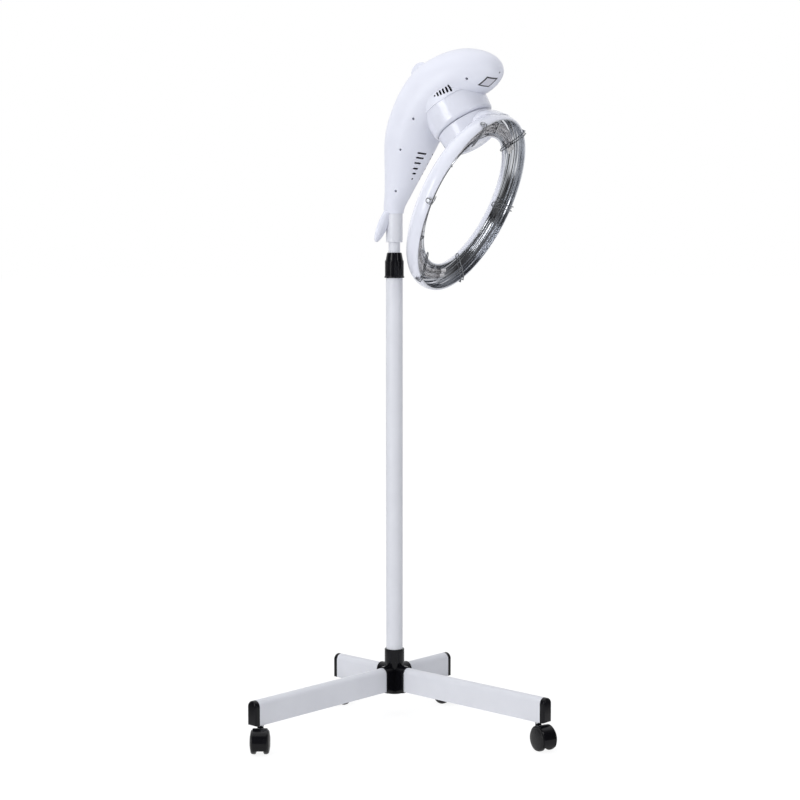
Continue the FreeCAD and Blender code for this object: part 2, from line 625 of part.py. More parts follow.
def housing_body():
    """The housing's outside and its hollow, each before the cuts."""
    outside = housing_form(0, 0, len(STATIONS))
    outside = outside.fuse(in_head(cup_brow(), ORBIT))
    outside = outside.fuse(ellipsoid(Vector(FIN[0]), FIN[1], FIN[2]))
    (back, across, height), radii, lean = FLUKE
    for side in (-1, 1):
        outside = outside.fuse(ellipsoid(Vector(back, side * across, height), radii, lean,
                                         side * FLUKE_SPREAD))
    inside = housing_form(size("shell_wall"), 3, len(STATIONS) - 1)
    bosses = [solid_cylinder(size("boss_radius"), 160, Vector(u, -80, z), Vector(0, 1, 0))
              for u, z in SCREWS]
    inside = inside.cut(Part.makeCompound(bosses))
    border = size("panel_border")
    seat = panel_block(border, size("panel_y - panel_seat"),
                       size("panel_seat + panel_thickness") - 0.5)
    outside = outside.fuse(seat)
    inside = inside.cut(seat)
    return outside, inside


def make_housing():
    outside, inside = housing_body()
    shell = outside.cut(inside)
    shell = shell.cut(in_head(turned_solid(cup_profile(size("seat_gap"))), ORBIT))
    low, high = size("sleeve_bottom_z - head_lift - 20"), size("sleeve_top_z - head_lift")
    shell = shell.cut(solid_cylinder(size("sleeve_radius") + size("fit_gap"), high - low,
                                     Vector(0, 0, low)))
    cuts = []
    width = size("vent_width")
    for u, z, length in UPPER_VENTS:
        for side in (-1, 1):
            cuts.append(slot_bar(Vector(u, side * 35, z), (0.5, 0, -0.87), length, width,
                                 (0, side, 0), 60))
    for u, across, z, length in LOWER_VENTS:
        for side in (-1, 1):
            cuts.append(slot_bar(Vector(u - 25, side * across, z + 6), (0, 1, 0), length, width,
                                 (1, 0, -0.24), 60))
    web, length = size("screw_web"), size("screw_length")
    for u, z in SCREWS:
        cuts.append(solid_cylinder(size("screw_radius") + 0.3, 100, Vector(u, -web, z),
                                   Vector(0, -1, 0)))
        cuts.append(solid_cylinder(size("screw_shank + fit_gap"), length, Vector(u, -web, z),
                                   Vector(0, 1, 0)))
    cuts.append(panel_block(0, size("panel_y"), 30))
    for u in key_places():
        cuts.append(solid_cylinder(size("key_radius") - 1.5, 30,
                                   Vector(u, size("panel_y") - 5, size("panel_z")),
                                   Vector(0, 1, 0)))
    cuts.append(solid_cylinder(size("gland_radius - 2 + fit_gap"), 60,
                               Vector(size("gland_u"), 0, size("gland_z")), Vector(0, 1, 0)))
    shell = shell.cut(Part.makeCompound(cuts))
    for label, side in (("housing_left", 1), ("housing_right", -1)):
        half = Part.makeBox(600, 300, 800, Vector(-300, 0 if side > 0 else -300, 900))
        nodes.append(piece(label, shell.common(half), HEAD))


def key_places():
    """Forward places of the three keys on the panel."""
    return [size("panel_u + key_offset") + index * size("key_pitch") for index in range(3)]


def panel_block(border, low, thickness):
    """A block of the panel's outline, grown by a border, with its upright edges rounded."""
    length, height = size("panel_length") + 2 * border, size("panel_height") + 2 * border
    block = Part.makeBox(length, thickness, height, Vector(
        size("panel_u") - length / 2, low, size("panel_z") - height / 2))
    corners = [edge for edge in block.Edges
               if edge.BoundBox.YLength > 1 and edge.BoundBox.XLength < 0.1]
    return block.makeFillet(size("panel_round") + border, corners)


def make_housing_screws():
    screws = []
    for u, z in SCREWS:
        web = size("screw_web")
        head = solid_cylinder(size("screw_radius"), 2, Vector(u, -web - 2, z), Vector(0, 1, 0))
        shank = solid_cylinder(size("screw_shank"), size("screw_length") - 2, Vector(u, -web, z),
                               Vector(0, 1, 0))
        screws.append(head.fuse(shank))
    nodes.append(piece("housing_screws", Part.makeCompound(screws), HEAD))


def make_panel():
    face, thickness = size("panel_y"), size("panel_thickness")
    plate = panel_block(-size("fit_gap") * 2, face, thickness)
    length, height = size("window_length"), size("window_height")
    depth = size("window_depth")
    left = size("panel_u - panel_length/2 + window_inset")
    low = size("panel_z") - height / 2
    holes = [Part.makeBox(length, thickness, height, Vector(left, face + depth, low))]
    for u in key_places():
        holes.append(solid_cylinder(size("key_radius + run_gap"), 8,
                                    Vector(u, face - 2, size("panel_z")), Vector(0, 1, 0)))
    nodes.append(piece("control_panel", plate.cut(Part.makeCompound(holes)), HEAD))
    play = size("fit_gap") * 2
    glass = Part.makeBox(length - 2 * play, depth - 0.3, height - 2 * play,
                         Vector(left + play, face + depth, low + play))
    nodes.append(piece("display_window", glass, HEAD))
    top = face + thickness + size("key_travel") + 0.1
    for name, u in zip(("start", "mode", "timer"), key_places()):
        cap = solid_cylinder(size("key_radius"), top - face - 2,
                             Vector(u, face + 2, size("panel_z")), Vector(0, 1, 0))
        cap = cap.makeFillet(0.8, [e for e in cap.Edges if e.BoundBox.YMin > top - 0.1])
        stalk = solid_cylinder(size("key_radius") - 1.8, size("key_stalk"),
                               Vector(u, face + 2 - size("key_stalk"), size("panel_z")),
                               Vector(0, 1, 0))
        nodes.append(piece("key_" + name, cap.fuse(stalk), HEAD))


def make_gland():
    """The mains lead gland in the rear flank; no lead is fitted."""
    radius, bore = size("gland_radius"), size("gland_bore")
    length, thread = size("gland_length"), size("gland_thread")
    gland = turned_solid([(bore, 0), (radius - 2, 0), (radius - 2, thread), (radius, thread),
                          (radius, length - 4), (radius - 2, length), (bore, length)])
    nodes.append(piece("mains_gland", gland, HEAD * Placement(
        Vector(size("gland_u"), size("gland_y"), size("gland_z")),
        Rotation(Vector(1, 0, 0), -90))))


# ---------------------------------------------------------------- motor cup and drive
def make_cup():
    body = new_body("motor_cup")
    seat = "bearing_radius + cup_wall"
    revolve(body, "cup", [
        ("shaft_radius + 1.5", "0"), ("cup_rim", "0", "cup_rim + cup_round*0.52",
                                      "cup_round*0.3"),
        ("cup_radius - 2.2", "cup_round + 1"), ("cup_radius - 0.7", "24"),
        ("cup_radius", "cup_depth"), ("cup_radius - cup_wall", "cup_depth"),
        ("cup_radius - cup_wall - 1", "cup_round + 5"), ("cup_rim - cup_wall", "cup_wall"),
        (seat, "cup_wall"), (seat, "cup_wall + bearing_width"),
        ("bearing_radius", "cup_wall + bearing_width"),
        ("bearing_radius", "cup_wall"), ("shaft_radius + 1.5", "cup_wall")])
    body.Placement = ORBIT
    nodes.append(body)
    bearing = new_body("cup_bearing")
    revolve(bearing, "race", [
        ("shaft_radius + run_gap/3", "cup_wall"), ("bearing_radius - fit_gap", "cup_wall"),
        ("bearing_radius - fit_gap", "cup_wall + bearing_width - 0.2"),
        ("shaft_radius + run_gap/3", "cup_wall + bearing_width - 0.2")])
    bearing.Placement = ORBIT
    nodes.append(bearing)
    motor = new_body("gear_motor")
    low = "cup_wall + bearing_width"
    revolve(motor, "can", [
        ("shaft_radius + run_gap", low), ("motor_radius", low), ("motor_radius", low + " + motor_step"),
        ("motor_radius - motor_neck", low + " + motor_step + 2"),
        ("motor_radius - motor_neck", low + " + motor_length - 2"),
        ("motor_radius - motor_neck - 2", low + " + motor_length"), ("0", low + " + motor_length"),
        ("0", low + " + motor_step - 2"), ("shaft_radius + run_gap", low + " + motor_step - 2")])
    motor.Placement = ORBIT
    nodes.append(motor)


def bowl_profile(inset):
    """The orbit hub's outside in the orbit frame, from its rim down to its cover."""
    top = -size("orbit_gap") - inset
    return (size("hub_bowl_radius") - inset, top, size("hub_bowl_waist") - inset,
            -size("bowl_shoulder"), size("hub_bowl_waist - bowl_tuck") - inset,
            -size("bowl_turn") + inset * 0.7,
            size("hub_cover_radius"), -size("hub_bowl_depth") + inset)


def make_orbit_hub():
    rim, top, waist, waist_z, mid, mid_z, cover, low = bowl_profile(0)
    wall = size("hub_bowl_wall")
    rim_i, top_i, waist_i, _, mid_i, mid_zi, _, low_i = bowl_profile(wall)
    shaft, boss = size("shaft_radius + fit_gap"), size("bearing_radius")
    socket = size("socket_depth")
    bowl = turned_solid([
        (shaft, top), (rim - 1.5, top), (rim, top - 1.5), (waist, waist_z, mid, mid_z),
        (cover, low), (cover, low_i), (waist_i, waist_z), (rim_i, top_i), (boss, top_i),
        (boss, top_i - socket), (shaft, top_i - socket)])
    core = turned_solid([(0, top_i), (rim_i, top_i), (waist_i, waist_z), (cover, low_i),
                         (cover, low - 1), (0, low - 1)])
    wires = []
    for reach, half_width, height, half_height in SADDLE:
        place = Placement(Vector(reach, 0, height), Rotation(Vector(0, 1, 0), 90))
        wires.append(oval(place, half_height, half_width))
    flare = Part.makeLoft(wires, True, False).cut(core)
    hub = bowl.fuse(flare)
    envelope = turned_solid(halo_section(-size("seat_gap")))
    envelope.Placement = ORBIT.inverse() * HALO
    nodes.append(piece("orbit_hub", hub.cut(envelope), ORBIT))
    cover_body = new_body("hub_cover")
    low_text = "-hub_bowl_depth"
    revolve(cover_body, "cover", [
        ("0", low_text + " - 1"), ("hub_cover_radius - 4", low_text + " - 1"),
        ("hub_cover_radius - fit_gap", low_text + " + 0.4"),
        ("hub_cover_radius - fit_gap", low_text + " + hub_bowl_wall"),
        ("0", low_text + " + hub_bowl_wall")])
    cover_body.Placement = ORBIT
    nodes.append(cover_body)
    axle = new_body("drive_shaft")
    revolve(axle, "shaft", [
        ("0", "-orbit_gap - hub_bowl_wall - socket_depth"),
        ("shaft_radius", "-orbit_gap - hub_bowl_wall - socket_depth"),
        ("shaft_radius", "cup_wall + bearing_width + motor_step - 3"),
        ("0", "cup_wall + bearing_width + motor_step - 3")])
    axle.Placement = ORBIT
    nodes.append(axle)


# ---------------------------------------------------------------- halo
def halo_arcs(inset):
    """The halo's section as (radius, height) points inset from its outside: lip, shoulder,
    crest, inner shoulder and inner edge. Two arcs tangent at the crest carry them."""
    rim, bore, crest = size("halo_radius"), size("halo_bore"), size("halo_crest")
    depth, low = size("halo_depth"), size("halo_inner_h")
    outer = ((rim - crest) ** 2 + depth ** 2) / (2 * depth)
    inner = ((crest - bore) ** 2 + (depth - low) ** 2) / (2 * (depth - low))
    outer_in, inner_in = outer - inset, inner - inset
    lip = (crest + math.sqrt(outer_in ** 2 - (depth - outer) ** 2), 0)
    start = math.atan2(outer - depth, lip[0] - crest)
    middle = (start + math.pi / 2) / 2
    shoulder = (crest + outer_in * math.cos(middle), depth - outer + outer_in * math.sin(middle))
    turn = math.atan2(low - depth + inner, bore - crest)
    half = (turn + math.pi / 2) / 2
    inner_shoulder = (crest + inner_in * math.cos(half), depth - inner + inner_in * math.sin(half))
    edge = (crest + inner_in * math.cos(turn), depth - inner + inner_in * math.sin(turn))
    return lip, shoulder, (crest, depth - inset), inner_shoulder, edge


def halo_section(inset):
    """The section inside the halo's outer surface, closed straight across its open front."""
    lip, shoulder, crest, inner_shoulder, edge = halo_arcs(inset)
    return [lip + shoulder, crest + inner_shoulder, edge]


def halo_layer(outer_inset, inner_inset):
    """The section of a wall that follows the halo's outer surface between two insets."""
    lip, shoulder, crest, inner_shoulder, edge = halo_arcs(outer_inset)
    lip_in, shoulder_in, crest_in, inner_shoulder_in, edge_in = halo_arcs(inner_inset)
    return [lip + shoulder, crest + inner_shoulder, edge, edge_in + inner_shoulder_in,
            crest_in + shoulder_in, lip_in]


def make_halo_shell():
    shell = turned_solid(halo_layer(0, size("halo_wall")))
    holes = [solid_cylinder(size("guard_screw_shank + fit_gap"), 20,
                            halo_point(size("halo_radius") - 8, angle, size("guard_screw_h")),
                            halo_point(1, angle, 0)) for angle in guard_angles()]
    nodes.append(piece("halo_shell", shell.cut(Part.makeCompound(holes)), HALO))


def make_mirror():
    gap = size("halo_wall + mirror_gap")
    mirror = turned_solid(halo_layer(gap, gap + size("mirror_wall")))
    nodes.append(piece("halo_mirror", mirror, HALO))


def mirror_height(radius):
    """Height of the mirror's inside above the rim, on the bore's side of the crest."""
    bore, crest, depth = size("halo_bore"), size("halo_crest"), size("halo_depth")
    drop = depth - size("halo_inner_h")
    inner = ((crest - bore) ** 2 + drop ** 2) / (2 * drop)
    inside = inner - size("halo_wall + mirror_gap + mirror_wall")
    return depth - inner + math.sqrt(inside ** 2 - (crest - radius) ** 2)


def guard_angles():
    """Places of the guards about the halo's axis, from its top towards its far side."""
    count = int(size("guard_count"))
    return [size("guard_first") + index * 360 / count for index in range(count)]


def halo_point(radius, angle, height):
    return Vector(radius * math.cos(math.radians(angle)),
                  radius * math.sin(math.radians(angle)), height)


def make_heater():
    """The twin-tube heater: two glass arcs side by side, capped at both ends and clipped."""
    circle, pitch = size("tube_circle"), size("tube_pitch")
    radius, height = size("tube_radius"), size("tube_h")
    start, end = size("tube_start"), size("tube_end")
    tubes = []
    for across in (-pitch / 2, pitch / 2):
        ring = Part.makeTorus(circle + across, radius, Vector(0, 0, height), Vector(0, 0, 1),
                              -180, 180, start - end)
        ring.rotate(Vector(0, 0, 0), Vector(0, 0, 1), end)
        tubes.append(ring)
    nodes.append(piece("heater_tubes", Part.makeCompound(tubes), HALO))
    length, width = size("end_cap_length"), size("end_cap_foot")
    back = mirror_height(circle - width / 2) - height - size("seat_gap")
    caps = []
    for angle, way in ((start, 1), (end, -1)):
        forward = Vector(-math.sin(math.radians(angle)), math.cos(math.radians(angle)), 0) * way
        lobes = [solid_cylinder(radius + size("end_cap_wall"), length,
                                halo_point(circle + across, angle, height), forward)
                 for across in (-pitch / 2, pitch / 2)]
        foot = Part.makeBox(width, length / 2, back)
        foot.Placement = Placement(halo_point(circle, angle, height), Rotation(
            Vector(0, 0, 1), angle)) * Placement(
                Vector(-width / 2, 3 if way > 0 else -3 - length / 2, 0), Rotation())
        caps.append(lobes[0].fuse(lobes[1]).fuse(foot))
    nodes.append(piece("heater_end_caps", Part.makeCompound(caps), HALO))
    clips = []
    wall, length, width = size("clip_wall"), size("clip_length"), size("clip_foot")
    reach = radius + pitch / 2 + wall
    for angle in CLIPS:
        band = Part.makeBox(2 * reach, length, 2 * (radius + wall),
                            Vector(-reach, -length / 2, -radius - wall))
        foot = Part.makeBox(width, length, back - radius, Vector(-width / 2, -length / 2, radius))
        clip = band.fuse(foot)
        clip.Placement = Placement(halo_point(circle, angle, height),
                                   Rotation(Vector(0, 0, 1), angle))
        clips.append(clip)
    passages = Part.makeCompound([full_tube(a) for a in (-pitch / 2, pitch / 2)])
    nodes.append(piece("heater_clips", Part.makeCompound([c.cut(passages) for c in clips]), HALO))


def full_tube(across):
    return Part.makeTorus(size("tube_circle") + across, size("tube_radius + seat_gap"),
                          Vector(0, 0, size("tube_h")), Vector(0, 0, 1))


def half_space(corner, normal, reach):
    """A cube that fills the side of a plane its normal points to."""
    cube = Part.makeBox(2 * reach, 2 * reach, 2 * reach, Vector(-reach, -reach, 0))
    cube.Placement = Placement(corner, Rotation(Vector(0, 0, 1), normal))
    return cube


def mitred_rod(corners, radius):
    """A round rod through the corners, its runs mitred where they meet."""
    ways = [(b - a).normalize() for a, b in zip(corners, corners[1:])]
    runs = []
    for index, way in enumerate(ways):
        start, end = corners[index], corners[index + 1]
        before, after = (radius if index else 0), (radius if index < len(ways) - 1 else 0)
        run = solid_cylinder(radius, (end - start).Length + before + after,
                             start - way * before, way)
        if index:
            run = run.cut(half_space(start, -(ways[index - 1] + way), 3 * radius))
        if index < len(ways) - 1:
            run = run.cut(half_space(end, way + ways[index + 1], 3 * radius))
        runs.append(run)
    return runs[0].multiFuse(runs[1:])


def bend(centre, first, last, radius, steps=6):
    """Points on half a circle about centre, from its first direction to its opposite by last."""
    angles = [math.pi * index / steps for index in range(steps + 1)]
    return [centre + first * (radius * math.cos(a)) + last * (radius * math.sin(a))
            for a in angles]


def make_guards():
    """Six wire guards across the channel, each a long loop with one end bent over the rim."""
    wire, half, gap = size("guard_wire"), size("guard_pitch") / 2, size("guard_gap")
    rim, bore, crest = size("halo_radius"), size("halo_bore"), size("halo_crest")
    depth, screw_h = size("halo_depth"), size("guard_screw_h")
    bulge = crest + ((rim - crest) ** 2 + depth ** 2) / (2 * depth)
    outer, front = bulge + wire + gap, -wire - gap
    flat = rim - size("guard_flat")
    near = size("halo_inner_h") - wire * 2
    side, up = Vector(0, 1, 0), Vector(0, 0, 1)
    slope = Vector(bore - flat, 0, near - front).normalize()
    inner = bend(Vector(bore, 0, near) + slope * 2, side, slope, half)
    clamp = bend(Vector(outer, 0, screw_h), -side, up, half)
    corners = [Vector((flat + bore) / 2, half, (front + near) / 2)] + inner + [
        Vector(flat, -half, front), Vector(outer, -half, front)] + clamp + [
        Vector(outer, half, front), Vector(flat, half, front),
        Vector((flat + bore) / 2, half, (front + near) / 2)]
    rod = mitred_rod(corners, wire)
    guards, screws = [], []
    for angle in guard_angles():
        guard = rod.copy()
        guard.Placement = turned(angle)
        guards.append(guard)
        outward = halo_point(1, angle, 0)
        base = halo_point(bulge - size("halo_wall"), angle, screw_h)
        shank = solid_cylinder(size("guard_screw_shank"), size("halo_wall") + 1, base, outward)
        top = solid_cylinder(size("guard_screw_head"), size("guard_head_height"),
                             halo_point(bulge + 0.1, angle, screw_h), outward)
        screws.append(shank.fuse(top))
    nodes.append(piece("guard_wires", Part.makeCompound(guards), HALO))
    nodes.append(piece("guard_screws", Part.makeCompound(screws), HALO))


doc.recompute()
make_hub()
make_base_plate()
for leg_name, (leg_angle, leg_reach) in LEGS.items():
    make_leg(leg_name, leg_angle, leg_reach)
    make_leg_cap(leg_name, leg_angle, leg_reach)
make_caster_stems()
for caster, spot, swivel in stem_places():
    make_hood(caster, spot, swivel)
    make_axle(caster, spot, swivel)
    make_wheel(caster, "left", spot, swivel)
    make_wheel(caster, "right", spot, swivel)
make_pole_lower()
make_collet()
make_nut()
make_mast()
make_sleeve()
make_housing()
make_housing_screws()
make_panel()
make_gland()
make_cup()
make_orbit_hub()
make_halo_shell()
make_mirror()
make_heater()
make_guards()

# ---------------------------------------------------------------- checks and files
doc.recompute()
for item in doc.Objects:
    if "Invalid" in item.State or "Error" in item.State:
        raise RuntimeError("%s failed: %s" % (item.Label, item.State))
os.makedirs("parts", exist_ok=True)
for node in nodes:
    shape = node.Shape
    if shape.isNull() or not shape.isValid():
        raise RuntimeError("%s has no valid shape" % node.Label)
    shape.exportStep("parts/%s.step" % node.Label)
    print("%-34s solids %d volume %.0f" % (node.Label, len(shape.Solids), shape.Volume))
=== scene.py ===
"""Hair color processor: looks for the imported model, in metres, in the model's own frame.

The head frame is turned by HEAD_YAW about Z and looks along its +X. The halo frame has its origin
at the centre of the halo's front rim, Z out of the halo's back and X up the ring.
"""
import json
import math

import bmesh
import bpy
from mathutils import Matrix, Vector
from mathutils.bvhtree import BVHTree


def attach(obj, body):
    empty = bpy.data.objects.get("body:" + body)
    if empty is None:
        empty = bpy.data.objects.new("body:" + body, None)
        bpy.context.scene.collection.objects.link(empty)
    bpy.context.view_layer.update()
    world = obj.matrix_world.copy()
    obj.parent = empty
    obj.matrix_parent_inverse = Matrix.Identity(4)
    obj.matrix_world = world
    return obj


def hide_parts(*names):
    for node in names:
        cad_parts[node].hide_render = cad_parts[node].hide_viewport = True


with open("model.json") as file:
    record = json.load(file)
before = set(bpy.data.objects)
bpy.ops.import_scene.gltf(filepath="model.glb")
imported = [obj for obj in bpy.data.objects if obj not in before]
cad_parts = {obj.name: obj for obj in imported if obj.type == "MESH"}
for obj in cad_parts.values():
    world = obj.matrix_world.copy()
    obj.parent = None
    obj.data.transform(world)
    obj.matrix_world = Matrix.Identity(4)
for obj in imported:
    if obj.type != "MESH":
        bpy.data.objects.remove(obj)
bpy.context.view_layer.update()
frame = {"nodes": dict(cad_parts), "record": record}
nodes = frame["nodes"]
scene = bpy.context.scene

MM = 0.001
WHITE = (1, 1, 1)
HEAD_YAW, HALO_TILT = math.radians(-30.6), math.radians(-65.7)
HALO_CENTRE = Vector((181.8, 0, 1082.4)) * MM
HEAD = Matrix.Rotation(HEAD_YAW, 4, "Z")
HALO = HEAD @ Matrix.Translation(HALO_CENTRE) @ Matrix.Rotation(HALO_TILT, 4, "Y")


# ---------------------------------------------------------------- node trees
class Nodes:
    """Short calls for building a node tree."""

    def __init__(self, tree):
        self.tree = tree

    def feed(self, node, inputs):
        """Give a node's inputs their values, or link them to the outputs of other nodes."""
        for key, value in inputs.items():
            if isinstance(value, bpy.types.NodeSocket):
                self.tree.links.new(value, node.inputs[key])
            else:
                node.inputs[key].default_value = value

    def add(self, kind, inputs=None, **settings):
        """A new node with its settings and its inputs."""
        made = self.tree.nodes.new("ShaderNode" + kind)
        for name, value in settings.items():
            setattr(made, name, value)
        self.feed(made, inputs or {})
        return made

    def math(self, operation, first, second=0.0):
        return self.add("Math", {0: first, 1: second}, operation=operation).outputs["Value"]

    def reach(self, vector, way):
        """How far a vector reaches along a way."""
        made = self.add("VectorMath", {0: vector, 1: way}, operation="DOT_PRODUCT")
        return made.outputs["Value"]

    def spread(self, source, low, high, start, end):
        """A value that runs from low to high as source runs from start to end."""
        made = self.add("MapRange", {"Value": source, "From Min": start, "From Max": end,
                                     "To Min": low, "To Max": high})
        return made.outputs["Result"]

    def ramp(self, source, first, last, between=()):
        """A colour that follows source through stops of (position, colour)."""
        made = self.add("ValToRGB", {"Fac": source})
        stops = made.color_ramp.elements
        for stop, (position, colour) in zip(stops, (first, last)):
            stop.position = position
            stop.color = (*colour, 1)
        for position, colour in between:
            stop = stops.new(position)
            stop.color = (*colour, 1)
        return made.outputs["Color"]

    def mix(self, share, first, second):
        """Two shaders mixed, with the share of the second."""
        return self.add("MixShader", {0: share, 1: first, 2: second}).outputs["Shader"]


# ---------------------------------------------------------------- materials
# Drifts run over the middle of what a noise gives. A pattern is a noise's scale, about its waves
# to a metre, and its octaves of detail. A relief is its strength and its depth.
DRIFT_START, DRIFT_END, NOISE_ROUGHNESS = 0.3, 0.7, 0.55
PLASTIC_TINT, PLASTIC_SHEEN, GRAIN_DETAIL, GRAIN_DEPTH = (14, 3), (55, 6), 3, 0.4 * MM
METAL_TINT, METAL_MARKS, METAL_RELIEF = (30, 4), (420, 3), (0.06, 0.2 * MM)
MIRROR_TINT, MIRROR_RINGS, MIRROR_RELIEF = (22, 4), (900, 3), (0.03, 0.2 * MM)
GLASS_TINT, GLASS_WAVES, GLASS_RELIEF = (40, 3), (60, 2), (0.05, 0.6 * MM)
SEGMENT_TINT = (60, 3)
# Colours from low to high, ranges of roughness, and values that are the same all over.
MIRROR_COLOURS, MIRROR_ROUGH = ((0.66, 0.68, 0.72), (0.77, 0.79, 0.83)), (0.07, 0.15)
GLASS_COLOURS, GLASS_ROUGH, QUARTZ_IOR = ((0.97, 0.94, 0.945), (1.0, 0.98, 0.98)), 0.03, 1.46
SEGMENT_COLOURS = ((0.60, 0.05, 0.03), (0.75, 0.08, 0.05))
SEGMENT_GLOW, SEGMENT_STRENGTH = (0.9, 0.08, 0.05, 1), 0.6
COAT_ROUGHNESS = 0.12


class Surface(Nodes):
    """A material under construction, with what the surfaces share."""

    def __init__(self, name):
        self.material = bpy.data.materials.new(name)
        self.material.use_nodes = True
        super().__init__(self.material.node_tree)
        self.shader = self.tree.nodes["Principled BSDF"]
        self.place = self.add("TexCoord").outputs["Object"]

    def set(self, inputs):
        self.feed(self.shader, inputs)

    def noise(self, scale, detail):
        made = self.add("TexNoise", {"Vector": self.place, "Scale": scale, "Detail": detail,
                                     "Roughness": NOISE_ROUGHNESS})
        return made.outputs["Fac"]

    def tint(self, pattern, low, high):
        """Let the colour drift between two."""
        self.set({"Base Color": self.ramp(self.noise(*pattern), (DRIFT_START, low),
                                          (DRIFT_END, high))})

    def sheen(self, source, low, high):
        """Let the roughness drift between two."""
        self.set({"Roughness": self.spread(source, low, high, DRIFT_START, DRIFT_END)})

    def relief(self, height, strength, depth):
        made = self.add("Bump", {"Height": height, "Strength": strength, "Distance": depth})
        self.set({"Normal": made.outputs["Normal"]})


def moulded(name, low, high, rough, grain, strength, coat=0.0, specular=0.5):
    """A moulded or painted surface: faint colour drift, uneven gloss and fine grain."""
    made = Surface(name)
    made.tint(PLASTIC_TINT, low, high)
    made.sheen(made.noise(*PLASTIC_SHEEN), *rough)
    made.relief(made.noise(grain, GRAIN_DETAIL), strength, GRAIN_DEPTH)
    made.set({"Coat Weight": coat, "Coat Roughness": COAT_ROUGHNESS,
              "Specular IOR Level": specular})
    return made.material


def metal(name, low, high, rough):
    """A bare or plated metal with fine marks."""
    made = Surface(name)
    made.tint(METAL_TINT, low, high)
    marks = made.noise(*METAL_MARKS)
    made.sheen(marks, *rough)
    made.relief(marks, *METAL_RELIEF)
    made.set({"Metallic": 1.0})
    return made.material


def spun_mirror(name):
    """A spun aluminium reflector: polished, with fine turning marks about the halo's axis."""
    made = Surface(name)
    to_halo = HALO.inverted()
    squares = []
    for axis in (0, 1):
        row = to_halo[axis]
        along = made.math("ADD", made.reach(made.place, row.xyz), row.w)
        squares.append(made.math("MULTIPLY", along, along))
    radius = made.math("SQRT", made.math("ADD", *squares))
    scale, detail = MIRROR_RINGS
    rings = made.add("TexNoise", {"W": radius, "Scale": scale, "Detail": detail},
                     noise_dimensions="1D").outputs["Fac"]
    made.tint(MIRROR_TINT, *MIRROR_COLOURS)
    made.sheen(rings, *MIRROR_ROUGH)
    made.relief(rings, *MIRROR_RELIEF)
    made.set({"Metallic": 1.0})
    return made.material


def quartz(name):
    """Heater glass: clear, with a faint pink cast and slight waviness."""
    made = Surface(name)
    made.tint(GLASS_TINT, *GLASS_COLOURS)
    made.relief(made.noise(*GLASS_WAVES), *GLASS_RELIEF)
    made.set({"Transmission Weight": 1.0, "Roughness": GLASS_ROUGH, "IOR": QUARTZ_IOR})
    return made.material


def glowing(name):
    """A red segment of the display, which glows by itself."""
    made = Surface(name)
    made.tint(SEGMENT_TINT, *SEGMENT_COLOURS)
    made.set({"Emission Color": SEGMENT_GLOW, "Emission Strength": SEGMENT_STRENGTH})
    return made.material


# Moulded and painted looks: the two colours, the range of roughness, grains to a metre, the
# grain's strength, and where they aren't plain, the coat's weight and the specular level.
SHELL = ((0.715, 0.73, 0.805), (0.755, 0.77, 0.845))
MOULDED = {
    "white_shell": (*SHELL, (0.17, 0.25), 2600, 0.02, 0.3),
    "satin_shell": (*SHELL, (0.34, 0.44), 2600, 0.06),
    "white_paint": ((0.66, 0.67, 0.71), (0.70, 0.71, 0.75), (0.30, 0.42), 1900, 0.16),
    "black_gloss": ((0.003, 0.003, 0.004), (0.006, 0.006, 0.008), (0.10, 0.18), 1500, 0.04,
                    0.05, 0.2),
    "black_matte": ((0.012, 0.012, 0.012), (0.022, 0.022, 0.023), (0.45, 0.6), 1300, 0.25),
    "wheel_black": ((0.008, 0.008, 0.009), (0.02, 0.02, 0.021), (0.22, 0.40), 1500, 0.12,
                    0.0, 0.22),
    # Painted shade: the walls inside the vents are coloured near black to stand in for the shade in
    # the slots of the white housing.
    "painted_vent_shade": ((0.010, 0.010, 0.012), (0.018, 0.018, 0.021), (0.5, 0.65), 1500, 0.1),
    "panel_grey": ((0.30, 0.31, 0.34), (0.36, 0.37, 0.40), (0.35, 0.5), 1500, 0.2),
    "key_grey": ((0.52, 0.53, 0.57), (0.58, 0.59, 0.63), (0.35, 0.5), 1700, 0.2),
    "window": ((0.012, 0.014, 0.018), (0.02, 0.022, 0.028), (0.05, 0.1), 400, 0.02, 0.5),
    "plate_frame": ((0.02, 0.02, 0.025), (0.035, 0.035, 0.04), (0.35, 0.5), 1500, 0.1),
    "plate_field": ((0.55, 0.55, 0.61), (0.62, 0.62, 0.68), (0.3, 0.45), 1700, 0.1),
    "ink": ((0.04, 0.04, 0.05), (0.07, 0.07, 0.08), (0.3, 0.45), 1600, 0.1),
}
# Metals: the two colours and the range of roughness.
METALS = {
    "steel": ((0.42, 0.43, 0.45), (0.56, 0.57, 0.59), (0.14, 0.28)),
    "motor_steel": ((0.42, 0.43, 0.45), (0.52, 0.53, 0.55), (0.25, 0.40)),
    "guard_metal": ((0.26, 0.27, 0.29), (0.38, 0.39, 0.41), (0.18, 0.30)),
    "end_cap": ((0.78, 0.78, 0.80), (0.88, 0.88, 0.90), (0.30, 0.42)),
    "coil": ((0.44, 0.43, 0.44), (0.56, 0.55, 0.56), (0.25, 0.4)),
}
materials = {name: moulded(name, *look) for name, look in MOULDED.items()}
materials.update((name, metal(name, *look)) for name, look in METALS.items())
materials["mirror"] = spun_mirror("mirror")
materials["heater_glass"] = quartz("heater_glass")
materials["lit_segment"] = glowing("lit_segment")

# ---------------------------------------------------------------- the CAD nodes' looks
SHARP_ANGLE = math.radians(32)
WELD_REACH = 0.002 * MM
FINER_LOOKS = {"housing_left": "satin_shell", "housing_right": "satin_shell",
               "heater_end_caps": "end_cap", "guard_screws": "guard_metal",
               "guard_wires": "guard_metal"}


